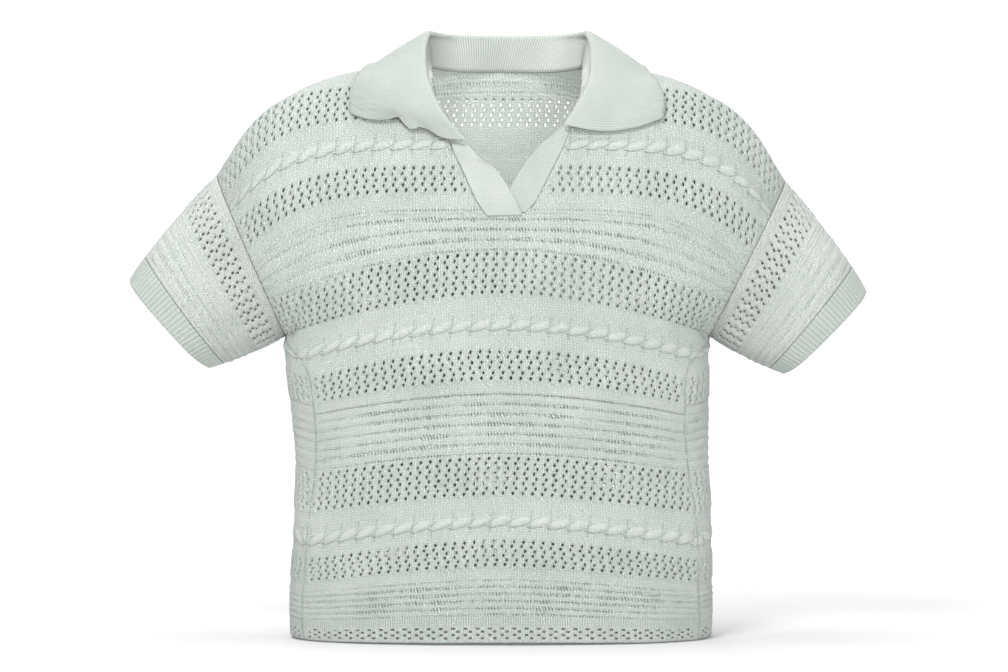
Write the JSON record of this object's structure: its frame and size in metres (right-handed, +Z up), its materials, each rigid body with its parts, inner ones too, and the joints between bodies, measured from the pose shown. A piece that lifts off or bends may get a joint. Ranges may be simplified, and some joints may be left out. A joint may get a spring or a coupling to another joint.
{
  "type": "open-knit polo jumper",
  "caption": "Short-sleeved open-knit jumper with a folded polo collar, an open V placket, dropped shoulders and bands of lace, ripple and cable knit.",
  "frame": {"origin": "middle of the shoulders at the height of the neck seam, 20 mm below the neck point", "axes": "+X to the right as the picture shows the front, -Y towards the front, +Z up"},
  "size_m": [0.7414, 0.208, 0.6077],
  "materials": {
    "mint_knit": "matte fine-gauge cotton knit with lace, ripple and cable bands, pale mint",
    "mint_rib": "matte fine-gauge cotton rib, pale mint"
  },
  "bodies": {
    "root": {"front": "mint_knit", "back": "mint_knit", "sleeve_left": "mint_knit", "sleeve_right": "mint_knit", "cuff_left": "mint_rib", "cuff_right": "mint_rib", "collar": "mint_rib", "placket_left": "mint_rib", "placket_right": "mint_rib"}
  },
  "joints": []
}
